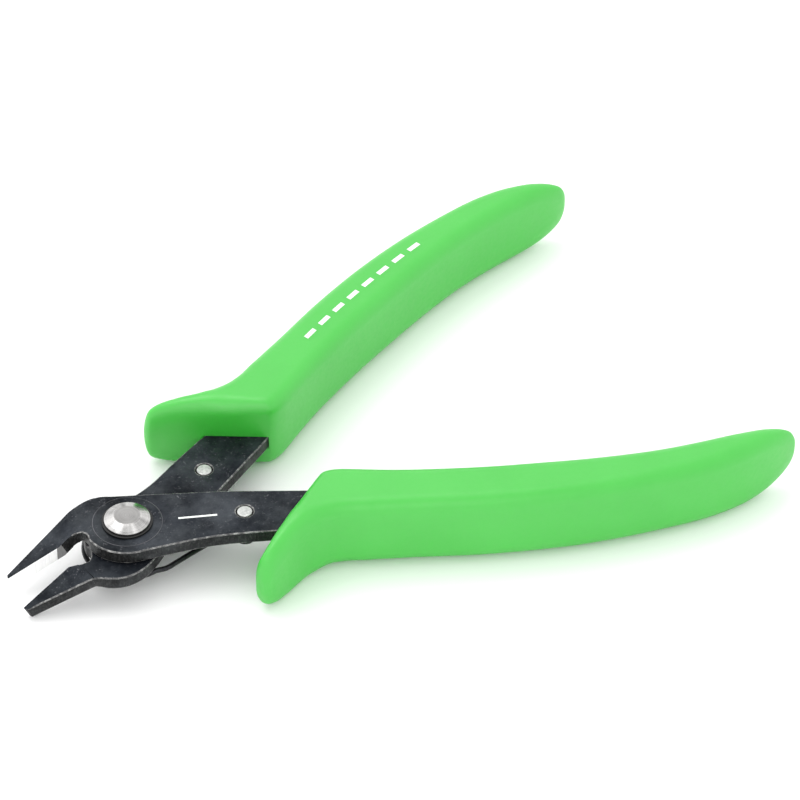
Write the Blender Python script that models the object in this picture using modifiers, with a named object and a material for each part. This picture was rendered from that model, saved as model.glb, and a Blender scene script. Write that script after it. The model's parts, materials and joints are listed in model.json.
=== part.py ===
"""Sprue nippers: two stamped lap-jointed levers on a rivet, a wire return spring and two moulded grips.

Metres, +Z up. The tool lies flat with its rivet head up and its jaws towards +X. Each lever is drawn
in its closed position about the pivot and turned half the opening angle by an empty on the pivot.
"""
from math import asin, cos, pi, radians, sin

import bmesh
import bpy
from mathutils import Matrix, Vector

MM = 0.001

# --- driving dimensions, in millimetres and degrees -------------------------------------------
OPEN_HALF_ANGLE = 7.5          # each lever's turn from the closed position to the open rest
PLATE = 2.4                    # thickness of each stamped lever
JOINT_GAP = 0.26               # between the two levers at the lap joint
JOINT_HEIGHT = 7.35            # middle of the lap joint above the surface the grips rest on
HEAD_SLOPE = 23.5              # how far the jaws are bent down from the levers' plane
BEND_RADIUS = 5.0              # of each jaw's bend, on its upper face
UPPER_BEND_START = 7.2         # distance of the bend from the pivot, upper jaw
LOWER_BEND_START = 9.1         # the same for the lower jaw, whose bend lies further out
BEND_CUTS = 6                  # flat strips that make up a bend

TIP_X = 21.2                   # jaw tips from the pivot
HEEL_X = 12.6                  # rear end of the cutting edges
EDGE_CLEARANCE = 0.03          # each cutting edge to the middle line when the jaws are closed
EDGE_FACET = 0.32              # narrow ground facet along the top of each cutting edge
EDGE_RELIEF = 0.8              # larger ground relief along the bottom

BOSS_R = 7.5                   # round eye of each lever at the pivot
SHANK_R = 2.2                  # pivot rivet
SHANK_CLEARANCE = 0.08
HEAD_RIM_R = 3.9               # rivet head at its rim
HEAD_FLAT_R = 2.37             # flat land in the middle of the head
HEAD_RISE = 1.1                # cone of the head above its seat
HEAD_RIM_HEIGHT = 0.32
WASHER_R = 4.3
WASHER_THICKNESS = 0.3
REAR_HEAD_R = 3.4
REAR_HEAD_RISE = 0.8
SEAT_GAP = 0.06                # between parts that bear on each other flat

PIN_DISTANCE = 19.65           # spring pins from the pivot
PIN_ANGLE = 14.65              # pin line from the tool's axis when closed
PIN_R = 1.27
PIN_HOLE_CLEARANCE = 0.2
PIN_NECK_R = 0.8               # where the spring's eye sits
PIN_END_Z = 3.5

WIRE_R = 0.46
WIRE_Z = 4.1                   # middle of the spring wire, under the lower lever
LOOP_R = 7.5                   # the spring's loop round the pivot
EYE_R = 1.42                   # the spring's eyes on the pins, to the middle of the wire

GRIP_HEIGHT = 14.9
GRIP_TOP_R = 2.6               # rounding of the grip's upper edges
GRIP_BOTTOM_R = 4.0            # and of its lower edges
GRIP_FRONT_R = 2.8             # crisper lower edge of the front face
GUARD_FRONT_R = 4.6            # rounding of the finger guard's upper front edge
GUARD_BACK_R = 3.2             # of its upper back edge
GUARD_FOOT_R = 2.8             # of its lower back edge
GUARD_DROP = 1.5               # how much lower the top of the guard's tip is than the grip's back
GUARD_DROP_START = 0.4         # how far into the guard the drop begins
GUARD_FOOT = 0.8               # share of a section's shortfall that its foot stands off the surface
TAIL_FOOT = 1.15               # the same at the tail, which is cut back underneath
SLOT_GAP = 0.35                # round the tang in the grip's pocket

ROUND_STEPS = 64               # segments of a turned part


# --- scene and materials ------------------------------------------------------------------------
def clear_scene():
    for obj in list(bpy.data.objects):
        bpy.data.objects.remove(obj)


def make_collection(name):
    collection = bpy.data.collections.new(name)
    bpy.context.scene.collection.children.link(collection)
    return collection


def make_material(name, colour, roughness, metallic):
    material = bpy.data.materials.new(name)
    material.use_nodes = True
    shader = material.node_tree.nodes["Principled BSDF"]
    shader.inputs["Base Color"].default_value = (*colour, 1.0)
    shader.inputs["Roughness"].default_value = roughness
    shader.inputs["Metallic"].default_value = metallic
    return material


def add_empty(name, location, turn, parent, collection):
    empty = bpy.data.objects.new(name, None)
    empty.location = Vector(location) * MM
    empty.rotation_euler.z = turn
    empty.parent = parent
    collection.objects.link(empty)
    return empty


def add_object(name, mesh, material, parent, collection):
    obj = bpy.data.objects.new(name, mesh)
    obj.parent = parent
    mesh.materials.clear()
    mesh.materials.append(material)
    collection.objects.link(obj)
    return obj


def as_cutter(obj):
    obj.hide_render = True
    obj.display_type = "WIRE"
    return obj


def cut(obj, cutter):
    modifier = obj.modifiers.new("cut_" + cutter.name, "BOOLEAN")
    modifier.operation = "DIFFERENCE"
    modifier.solver = "EXACT"
    modifier.object = cutter


# --- plan curves, in millimetres ------------------------------------------------------------------
def arc(centre, radius, start, end, steps):
    """Points on an arc, from angle start to angle end in degrees, both included."""
    angles = [radians(start + (end - start) * i / steps) for i in range(steps + 1)]
    return [(centre[0] + radius * cos(a), centre[1] + radius * sin(a)) for a in angles]


def smooth(points, steps):
    """A Catmull-Rom curve through the points, steps pieces between each two."""
    padded = [points[0]] + list(points) + [points[-1]]
    curve = []
    for i in range(1, len(padded) - 2):
        p0, p1, p2, p3 = (Vector(p) for p in padded[i - 1:i + 3])
        for k in range(steps):
            t = k / steps
            point = 0.5 * (2 * p1 + (p2 - p0) * t + (2 * p0 - 5 * p1 + 4 * p2 - p3) * t * t
                           + (3 * p1 - p0 - 3 * p2 + p3) * t ** 3)
            curve.append(tuple(point))
    curve.append(tuple(points[-1]))
    return curve


def from_grip_frame(point):
    """Grip frame to closed lever frame: x runs from the pivot through the pin, y runs outwards."""
    turn = radians(PIN_ANGLE)
    x, y = point[0], point[1]
    return (-x * cos(turn) + y * sin(turn), x * sin(turn) + y * cos(turn))


def outline_mesh(name, points, bottom, top):
    """A flat outline in millimetres, made solid between two heights."""
    curve = bpy.data.curves.new(name + "_outline", "CURVE")
    curve.dimensions = "2D"
    curve.fill_mode = "BOTH"
    curve.extrude = (top - bottom) / 2 * MM
    spline = curve.splines.new("POLY")
    spline.points.add(len(points) - 1)
    for spot, (x, y) in zip(spline.points, points):
        spot.co = (x * MM, y * MM, 0.0, 1.0)
    spline.use_cyclic_u = True
    return curve_mesh(name, curve, (0, 0, (top + bottom) / 2))


def curve_mesh(name, curve, offset):
    """The curve's solid as a welded mesh, moved by an offset in millimetres."""
    carrier = bpy.data.objects.new(name + "_curve", curve)
    bpy.context.scene.collection.objects.link(carrier)
    bpy.context.view_layer.update()
    evaluated = carrier.evaluated_get(bpy.context.evaluated_depsgraph_get())
    mesh = bpy.data.meshes.new_from_object(evaluated)
    bpy.data.objects.remove(carrier)
    mesh.name = name
    work = bmesh.new()
    work.from_mesh(mesh)
    bmesh.ops.remove_doubles(work, verts=work.verts, dist=0.00001)
    bmesh.ops.translate(work, verts=work.verts, vec=Vector(offset) * MM)
    bmesh.ops.recalc_face_normals(work, faces=work.faces)
    work.to_mesh(mesh)
    work.free()
    return mesh


def turned(name, profile, material, parent, location, collection):
    """A turned part: (radius, height) pairs from the top of the axis down to its bottom."""
    mesh = bpy.data.meshes.new(name)
    work = bmesh.new()
    spots = [work.verts.new((r * MM, 0.0, z * MM)) for r, z in profile]
    for upper, lower in zip(spots, spots[1:]):
        work.edges.new((upper, lower))
    work.to_mesh(mesh)
    work.free()
    obj = add_object(name, mesh, material, parent, collection)
    obj.location = Vector(location) * MM
    screw = obj.modifiers.new("turn", "SCREW")
    screw.axis = "Z"
    screw.steps = ROUND_STEPS
    screw.render_steps = ROUND_STEPS
    screw.use_merge_vertices = True
    screw.merge_threshold = 0.00001
    screw.use_smooth_shade = False
    return obj


# --- levers ----------------------------------------------------------------------------------------
UPPER_ARM = [(-0.6, 7.55), (-2.6, 7.65), (-5.8, 7.93), (-9.0, 8.22), (-12.5, 8.75), (-15.8, 9.5),
             (-19.3, 10.45), (-22.4, 11.4)]
LOWER_ARM = [(-0.6, 7.4), (-3.0, 6.95), (-6.1, 6.85), (-9.6, 7.45), (-12.5, 8.35), (-15.8, 9.5),
             (-19.3, 10.55), (-22.4, 11.5)]
TANG_OUTER = [(30.5, 5.05), (36.0, 4.85), (45.0, 5.1), (55.0, 5.6), (65.0, 5.8), (75.0, 5.4), (85.0, 4.4)]
TANG_INNER = [(85.0, 0.0), (75.0, 0.6), (65.0, 0.6), (55.0, 0.2), (45.0, -1.0), (38.0, -2.45),
              (31.0, -3.7)]
TANG_END = (91.0, 1.75)        # middle of the tang's round end, in the grip frame
TANG_END_R = 1.9
ARM_INNER = [(-17.8, -0.85), (-7.3, -4.3)]

UPPER_BACK = [(-3.2, -5.63), (0.3, -6.75), (1.6, -7.25), (2.9, -7.52), (4.3, -7.5), (5.8, -7.1),
              (7.5, -6.4), (9.2, -5.66)]
LOWER_BACK = [(-4.2, -5.5), (-1.4, -7.1), (1.3, -8.25), (2.7, -8.6), (4.4, -8.72), (5.9, -8.5),
              (7.1, -8.05), (8.0, -7.5), (8.8, -6.85), (9.5, -6.15), (10.4, -5.5), (11.4, -4.95)]
JAW_BACK_END = (20.85, -1.05)
UPPER_NOTCH = [(11.3, -0.35), (10.2, -0.72), (9.0, -0.8), (8.1, -0.62)]
LOWER_NOTCH = [(11.5, -0.45), (10.6, -1.1), (9.6, -1.5), (8.6, -1.45)]
NOTCH_ROOT = [(7.45, -0.1), (7.2, 0.7), (7.3, 1.7)]


def tang_outline(margin):
    """The tang in the closed frame, grown by a margin, from its outer edge round to its inner edge."""
    end_angle = 4.0
    outer = [(x, y + margin) for x, y in TANG_OUTER]
    inner = [(x, y - margin) for x, y in TANG_INNER]
    end = arc(TANG_END, TANG_END_R + margin, 90 - end_angle, -90 - end_angle, 10)
    return [from_grip_frame(p) for p in smooth(outer, 3) + end + smooth(inner, 3)]


def lever_outline(back, notch, arm):
    """Plan outline of a closed lever, jaw at negative y, arm swinging to positive y."""
    edge = -EDGE_CLEARANCE
    jaw = smooth(back, 3) + [JAW_BACK_END, (TIP_X - 0.1, -0.8), (TIP_X, edge - 0.25), (TIP_X, edge)]
    heel = [(HEEL_X, edge)] + smooth([(HEEL_X - 0.6, edge - 0.05)] + notch + NOTCH_ROOT, 3)
    boss = arc((0, 0), BOSS_R, 16, 92, 14)
    return jaw + heel + boss + smooth(arm, 3) + tang_outline(0.0) + ARM_INNER


def developed(x, start):
    """Flat length of the blank at plan distance x, for a bend starting at distance start."""
    slope = radians(HEAD_SLOPE)
    run = BEND_RADIUS * sin(slope)
    if x <= start:
        return x
    if x <= start + run:
        return start + BEND_RADIUS * asin((x - start) / BEND_RADIUS)
    return start + BEND_RADIUS * slope + (x - start - run) / cos(slope)


def bent(co, start, top):
    """A point of the flat blank, moved to where the bend takes it. The upper face keeps its length."""
    slope = radians(HEAD_SLOPE)
    flat = co.x / MM - start
    if flat <= 0:
        return co
    depth = top - co.z / MM
    turn = min(flat / BEND_RADIUS, slope)
    beyond = max(flat - BEND_RADIUS * slope, 0.0)
    x = start + (BEND_RADIUS - depth) * sin(turn) + beyond * cos(slope)
    z = top - BEND_RADIUS + (BEND_RADIUS - depth) * cos(turn) - beyond * sin(slope)
    return Vector((x * MM, co.y, z * MM))


def bend_jaw(mesh, start, top):
    """Cut the flat blank into strips across its bend, then roll the jaw down."""
    work = bmesh.new()
    work.from_mesh(mesh)
    for i in range(BEND_CUTS + 1):
        place = start + BEND_RADIUS * radians(HEAD_SLOPE) * i / BEND_CUTS
        bmesh.ops.bisect_plane(work, geom=work.verts[:] + work.edges[:] + work.faces[:], dist=0.0000001,
                               plane_co=(place * MM, 0, 0), plane_no=(1, 0, 0))
    bmesh.ops.triangulate(work, faces=work.faces[:])
    for vert in work.verts:
        vert.co = bent(vert.co, start, top)
    bmesh.ops.dissolve_limit(work, angle_limit=radians(0.02), verts=work.verts[:], edges=work.edges[:])
    work.to_mesh(mesh)
    work.free()


def cutting_edge(work, height_side):
    """The long edge of the jaw's inner wall, on its upper (1) or lower (-1) face."""
    wall = -EDGE_CLEARANCE * MM
    on_wall = [e for e in work.edges if all(abs(v.co.y - wall) < 0.002 * MM for v in e.verts)]
    along = [e for e in on_wall if e.calc_length() > 6 * MM]
    return max(along, key=lambda e: height_side * (e.verts[0].co.z + e.verts[1].co.z))


def grind_edges(mesh):
    """Grind the narrow top facet and the lower relief along the cutting edge."""
    work = bmesh.new()
    work.from_mesh(mesh)
    for side, size in ((1, EDGE_FACET), (-1, EDGE_RELIEF)):
        bmesh.ops.bevel(work, geom=[cutting_edge(work, side)], offset=size * MM, offset_type="WIDTH",
                        segments=1, profile=0.5, affect="EDGES", clamp_overlap=True)
    work.to_mesh(mesh)
    work.free()


def mirror_mesh(mesh):
    mesh.transform(Matrix.Scale(-1, 4, (0, 1, 0)))
    mesh.flip_normals()


def round_cutter(name, radius, spot, parent, collection):
    bpy.ops.mesh.primitive_cylinder_add(vertices=ROUND_STEPS, radius=radius * MM, depth=40 * MM)
    cutter = bpy.context.active_object
    cutter.name = name
    for owner in list(cutter.users_collection):
        owner.objects.unlink(cutter)
    collection.objects.link(cutter)
    cutter.parent = parent
    cutter.location = Vector((*spot, JOINT_HEIGHT)) * MM
    return as_cutter(cutter)


def make_lever(name, shape, bend_start, bottom, mirrored, material, parent, parts, cutters):
    plan = lever_outline(*shape)
    blank = [(developed(x, bend_start), y) for x, y in plan]
    top = bottom + PLATE
    mesh = outline_mesh(name, blank, bottom, top)
    bend_jaw(mesh, bend_start, top)
    grind_edges(mesh)
    if mirrored:
        mirror_mesh(mesh)
    lever = add_object(name, mesh, material, parent, parts)
    cut(lever, round_cutter(name + "_rivet_hole", SHANK_R + SHANK_CLEARANCE, (0, 0), parent, cutters))
    spot = pin_spot(mirrored)
    cut(lever, round_cutter(name + "_pin_hole", PIN_R + PIN_HOLE_CLEARANCE, spot, parent, cutters))
    return lever


def pin_spot(mirrored):
    x, y = from_grip_frame((PIN_DISTANCE, 0))
    return (x, -y if mirrored else y)


# --- rivet, washer and pins --------------------------------------------------------------------------
def make_rivet(material, parent, parts):
    seat = JOINT_HEIGHT + JOINT_GAP / 2 + PLATE + WASHER_THICKNESS + 2 * SEAT_GAP
    rear = JOINT_HEIGHT - JOINT_GAP / 2 - PLATE - SEAT_GAP
    dome = [(REAR_HEAD_R * cos(radians(a)), rear - 0.25 - (REAR_HEAD_RISE - 0.25) * sin(radians(a)))
            for a in range(0, 90, 15)]
    profile = [(0, seat + HEAD_RISE), (HEAD_FLAT_R, seat + HEAD_RISE), (HEAD_RIM_R, seat + HEAD_RIM_HEIGHT),
               (HEAD_RIM_R, seat), (SHANK_R, seat), (SHANK_R, rear), (REAR_HEAD_R, rear)] + dome
    profile.append((0, rear - REAR_HEAD_RISE))
    return turned("pivot_rivet", profile, material, parent, (0, 0, 0), parts)


def make_washer(material, parent, parts):
    low = JOINT_HEIGHT + JOINT_GAP / 2 + PLATE + SEAT_GAP
    high = low + WASHER_THICKNESS
    hole = SHANK_R + SHANK_CLEARANCE
    profile = [(hole, high), (WASHER_R - 0.08, high), (WASHER_R, high - 0.08), (WASHER_R, low), (hole, low),
               (hole, high)]
    return turned("rivet_washer", profile, material, parent, (0, 0, 0), parts)


def make_pin(name, top, mirrored, material, parent, parts):
    neck_top = WIRE_Z + WIRE_R + 0.12
    profile = [(0, top), (PIN_R - 0.1, top), (PIN_R, top - 0.1), (PIN_R, neck_top), (PIN_NECK_R, neck_top),
               (PIN_NECK_R, PIN_END_Z + 0.15), (PIN_NECK_R - 0.15, PIN_END_Z), (0, PIN_END_Z)]
    return turned(name, profile, material, parent, (*pin_spot(mirrored), 0), parts)


# --- spring -----------------------------------------------------------------------------------------
SPRING_LEG = [(-3.2, 7.72), (-5.6, 7.25), (-8.6, 6.6), (-12.6, 5.95)]


def spring_half():
    """The wire's centre line at rest on the positive y side, from the middle of the loop to the eye's end."""
    turn = pi - radians(PIN_ANGLE + OPEN_HALF_ANGLE)
    pin = (PIN_DISTANCE * cos(turn), PIN_DISTANCE * sin(turn))
    loop = arc((0, 0), LOOP_R, 0, 100, 20)
    leg = smooth([loop[-1]] + SPRING_LEG + [(pin[0], pin[1] - EYE_R)], 5)
    eye = arc(pin, EYE_R, 270, 270 - 300, 18)
    return loop + leg[1:] + eye[1:]


def make_spring(material, parent, parts):
    half = spring_half()
    points = [(x, -y) for x, y in reversed(half)] + half[1:]
    curve = bpy.data.curves.new("return_spring_wire", "CURVE")
    curve.dimensions = "3D"
    curve.bevel_depth = WIRE_R * MM
    curve.bevel_resolution = 2
    curve.use_fill_caps = True
    spline = curve.splines.new("POLY")
    spline.points.add(len(points) - 1)
    for spot, (x, y) in zip(spline.points, points):
        spot.co = (x * MM, y * MM, 0.0, 1.0)
    mesh = curve_mesh("return_spring", curve, (0, 0, WIRE_Z))
    return add_object("return_spring", mesh, material, parent, parts)


# --- grips --------------------------------------------------------------------------------------------
# The grip's cross-sections, from the tip of the finger guard, round the bend behind its front face
# and back to the rounded end. Each spans a pair of plan points, front or inner side first, and gives
# how far it stands short of the full height, how much of the front face's crisper lower edge it has
# and how much of the guard's own roundings and drop.
GRIP_SECTIONS = [
    ((20.5, 14.3), (21.5, 14.95), 5.4, 1.0, 1.0), ((20.15, 13.8), (22.2, 14.9), 3.6, 1.0, 1.0),
    ((20.05, 13.2), (22.7, 14.65), 2.2, 1.0, 1.0), ((20.3, 12.6), (23.5, 14.1), 1.3, 1.0, 1.0),
    ((21.2, 11.55), (24.7, 13.0), 0.6, 1.0, 0.95), ((22.3, 10.1), (25.8, 11.8), 0.2, 1.0, 0.85),
    ((23.6, 8.37), (27.1, 10.5), 0.0, 1.0, 0.7), ((25.0, 6.5), (28.5, 9.2), 0.0, 1.0, 0.55),
    ((26.6, 4.37), (29.9, 8.15), 0.0, 1.0, 0.4), ((28.3, 2.1), (31.4, 7.4), 0.0, 1.0, 0.25),
    ((30.0, -0.17), (32.8, 6.85), 0.0, 1.0, 0.1), ((31.5, -2.15), (34.1, 6.5), 0.0, 1.0, 0.0),
    ((32.25, -3.2), (35.2, 6.4), 0.0, 0.9, 0.0), ((33.0, -4.05), (36.0, 6.35), 0.0, 0.8, 0.0),
    ((34.2, -4.45), (36.9, 6.35), 0.0, 0.65, 0.0), ((36.0, -4.5), (38.2, 6.45), 0.0, 0.5, 0.0),
    ((38.0, -4.25), (39.6, 6.6), 0.0, 0.35, 0.0), ((40.6, -3.85), (41.2, 6.65), 0.0, 0.2, 0.0),
    ((44.0, -3.35), (43.8, 6.8), 0.0, 0.1, 0.0), ((48.2, -2.85), (47.8, 7.0), 0.0, 0.0, 0.0),
    ((53.0, -2.45), (52.4, 7.35), 0.0, 0.0, 0.0), ((58.0, -2.1), (57.4, 7.7), 0.0, 0.0, 0.0),
    ((63.6, -1.87), (63.0, 7.86), 0.0, 0.0, 0.0), ((69.8, -1.78), (69.2, 7.85), 0.0, 0.0, 0.0),
    ((76.6, -1.72), (76.0, 7.5), 0.0, 0.0, 0.0), ((83.4, -1.9), (83.4, 6.7), 0.0, 0.0, 0.0),
    ((90.4, -2.4), (91.2, 5.35), 0.0, 0.0, 0.0), ((97.2, -3.4), (98.3, 3.7), 0.0, 0.0, 0.0),
    ((103.0, -4.55), (104.3, 1.4), 0.1, 0.0, 0.0), ((107.3, -5.45), (108.6, -1.0), 0.55, 0.0, 0.0),
    ((110.6, -6.2), (111.7, -3.05), 1.6, 0.0, 0.0), ((113.2, -6.55), (113.9, -4.65), 3.1, 0.0, 0.0),
    ((114.75, -6.3), (114.95, -5.5), 5.2, 0.0, 0.0),
]


def blend(a, b, share):
    return a + (b - a) * share


def section_points(inner, outer, short, front, guard):
    """A rounded rectangle standing on the line from inner to outer, corner by corner."""
    middle = (Vector(inner) + Vector(outer)) / 2
    across = Vector(outer) - Vector(inner)
    half_width = across.length / 2
    across.normalize()
    drop = GUARD_DROP * max(guard - GUARD_DROP_START, 0.0) / (1.0 - GUARD_DROP_START)
    high = GRIP_HEIGHT - short - drop
    low = short * blend(TAIL_FOOT, GUARD_FOOT, guard)
    corners = (
        (1, 1, blend(GRIP_TOP_R, GUARD_BACK_R, guard), 0),
        (-1, 1, blend(GRIP_TOP_R, GUARD_FRONT_R, guard), 90),
        (-1, -1, blend(GRIP_BOTTOM_R, GRIP_FRONT_R, front), 180),
        (1, -1, blend(GRIP_BOTTOM_R, GUARD_FOOT_R, guard), 270),
    )
    points = []
    for side, up, radius, start in corners:
        height_r = min(radius, (high - low) / 2 * 0.96)
        width_r = min(radius, half_width * 0.96)
        centre_u = side * (half_width - width_r)
        edge_z = high if up > 0 else low
        centre_z = edge_z - up * height_r
        for i in range(7):
            angle = radians(start + 15 * i)
            spot = middle + across * (centre_u + width_r * cos(angle))
            points.append((*from_grip_frame(spot), centre_z + height_r * sin(angle)))
    return points


def make_grip(name, mirrored, plate_bottom, material, parent, parts, cutters):
    """A loft between unlike sections, closed at both ends, with a pocket for the lever's tang."""
    mesh = bpy.data.meshes.new(name)
    work = bmesh.new()
    rings = [[work.verts.new(Vector(p) * MM) for p in section_points(*section)] for section in GRIP_SECTIONS]
    count = len(rings[0])
    for near, far in zip(rings, rings[1:]):
        for i in range(count):
            j = (i + 1) % count
            work.faces.new((near[i], near[j], far[j], far[i]))
    work.faces.new(rings[0])
    work.faces.new(rings[-1])
    bmesh.ops.recalc_face_normals(work, faces=work.faces)
    work.to_mesh(mesh)
    work.free()
    if mirrored:
        mirror_mesh(mesh)
    grip = add_object(name, mesh, material, parent, parts)
    grip.data.shade_smooth()
    grip.data.set_sharp_from_angle(angle=radians(35))
    cut(grip, pocket_cutter(name + "_pocket", mirrored, plate_bottom, material, parent, cutters))
    return grip


def pocket_cutter(name, mirrored, plate_bottom, material, parent, cutters):
    mouth_outer = from_grip_frame((16.0, 5.6 + SLOT_GAP))
    mouth_inner = from_grip_frame((22.0, -5.1 - SLOT_GAP))
    plan = tang_outline(SLOT_GAP) + [mouth_inner, mouth_outer]
    mesh = outline_mesh(name, plan, plate_bottom - SLOT_GAP, plate_bottom + PLATE + SLOT_GAP)
    if mirrored:
        mirror_mesh(mesh)
    return as_cutter(add_object(name, mesh, material, parent, cutters))


# --- assembly -------------------------------------------------------------------------------------------
def pivot_offset():
    """Distance from the middle of the open tool's length to the pivot, measured on the grip's end."""
    turn = radians(OPEN_HALF_ANGLE)
    ends = [from_grip_frame(spot) for section in GRIP_SECTIONS[-3:] for spot in section[:2]]
    rear = min(x * cos(turn) + y * sin(turn) for x, y in ends)
    front = TIP_X * cos(turn)
    return -(front + rear) / 2


def main():
    clear_scene()
    parts = make_collection("sprue_nippers")
    cutters = make_collection("cutters")
    blackened = make_material("blackened_steel", (0.028, 0.029, 0.032), 0.42, 0.85)
    bright = make_material("bright_steel", (0.62, 0.62, 0.60), 0.28, 1.0)
    washer_steel = make_material("dark_washer", (0.012, 0.012, 0.013), 0.5, 0.6)
    spring_steel = make_material("spring_wire", (0.022, 0.023, 0.025), 0.35, 0.9)
    vinyl = make_material("green_vinyl", (0.17, 0.78, 0.16), 0.42, 0.0)

    turn = radians(OPEN_HALF_ANGLE)
    assembly = add_empty("assembly", (pivot_offset(), 0, 0), 0, None, parts)
    upper = add_empty("upper_lever_pivot", (0, 0, 0), -turn, assembly, parts)
    lower = add_empty("lower_lever_pivot", (0, 0, 0), turn, assembly, parts)
    upper_bottom = JOINT_HEIGHT + JOINT_GAP / 2
    lower_bottom = JOINT_HEIGHT - JOINT_GAP / 2 - PLATE

    make_lever("upper_blade_lever", (UPPER_BACK, UPPER_NOTCH, UPPER_ARM), UPPER_BEND_START, upper_bottom,
               False, blackened, upper, parts, cutters)
    make_lever("lower_blade_lever", (LOWER_BACK, LOWER_NOTCH, LOWER_ARM), LOWER_BEND_START, lower_bottom,
               True, blackened, lower, parts, cutters)
    make_rivet(bright, lower, parts)
    make_washer(washer_steel, lower, parts)
    make_pin("upper_spring_pin", upper_bottom + PLATE, False, bright, upper, parts)
    make_pin("lower_spring_pin", lower_bottom + PLATE, True, bright, lower, parts)
    make_spring(spring_steel, assembly, parts)
    make_grip("upper_lever_grip", False, upper_bottom, vinyl, upper, parts, cutters)
    make_grip("lower_lever_grip", True, lower_bottom, vinyl, lower, parts, cutters)


main()
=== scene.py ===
"""Looks of the sprue nippers: refined levers, rivet, pins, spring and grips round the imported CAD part."""

import json
from math import cos, degrees, pi, radians, sin

import bmesh
import bpy
from mathutils import Matrix, Vector
from mathutils.bvhtree import BVHTree


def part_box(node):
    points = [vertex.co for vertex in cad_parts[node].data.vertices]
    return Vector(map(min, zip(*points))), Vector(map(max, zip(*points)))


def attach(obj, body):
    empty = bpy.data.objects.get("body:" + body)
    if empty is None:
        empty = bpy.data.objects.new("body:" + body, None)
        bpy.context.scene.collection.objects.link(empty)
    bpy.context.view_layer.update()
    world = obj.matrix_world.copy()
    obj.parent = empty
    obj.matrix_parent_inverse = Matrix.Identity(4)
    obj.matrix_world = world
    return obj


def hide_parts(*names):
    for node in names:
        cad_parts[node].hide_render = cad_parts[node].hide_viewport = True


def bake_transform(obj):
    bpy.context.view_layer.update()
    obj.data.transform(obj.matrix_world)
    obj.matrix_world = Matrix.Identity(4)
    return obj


MM = 0.001

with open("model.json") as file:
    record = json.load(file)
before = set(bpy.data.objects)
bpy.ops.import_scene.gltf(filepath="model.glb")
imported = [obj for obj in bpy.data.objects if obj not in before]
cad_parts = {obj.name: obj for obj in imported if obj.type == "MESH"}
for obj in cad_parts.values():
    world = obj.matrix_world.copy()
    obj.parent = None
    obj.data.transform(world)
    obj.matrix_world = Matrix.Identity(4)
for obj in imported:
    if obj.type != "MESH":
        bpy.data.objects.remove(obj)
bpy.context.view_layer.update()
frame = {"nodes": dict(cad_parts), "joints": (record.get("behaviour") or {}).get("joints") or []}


# --- places taken from the CAD part ---------------------------------------------------------------
def middle(node):
    low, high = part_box(node)
    return (low + high) / 2


PIVOT = Vector(frame["joints"][0]["pos_m"])
CLOSING_ANGLE = radians(frame["joints"][0]["range_deg"][1])
PLATE = 2.4 * MM                 # thickness of the levers' sheet


class Lever:
    """One lever's own directions: along from the pivot through its pin, out away from the other lever."""

    def __init__(self, side):
        self.side = side
        self.blade = side + "_blade_lever"
        self.grip = side + "_lever_grip"
        self.pin = side + "_spring_pin"
        self.body = side + "_lever"
        pin = middle(self.pin)
        self.along = Vector((pin.x - PIVOT.x, pin.y - PIVOT.y, 0)).normalized()
        self.sign = 1 if side == "upper" else -1
        self.out = Vector((self.along.y, -self.along.x, 0)) * self.sign
        self.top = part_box(self.blade)[1].z

    def spot(self, x, y, z):
        """A point x along and y out in millimetres, z in metres above the floor."""
        point = PIVOT + (self.along * x + self.out * y) * MM
        return Vector((point.x, point.y, z))


LEVERS = [Lever("upper"), Lever("lower")]
UPPER, LOWER = LEVERS


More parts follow.
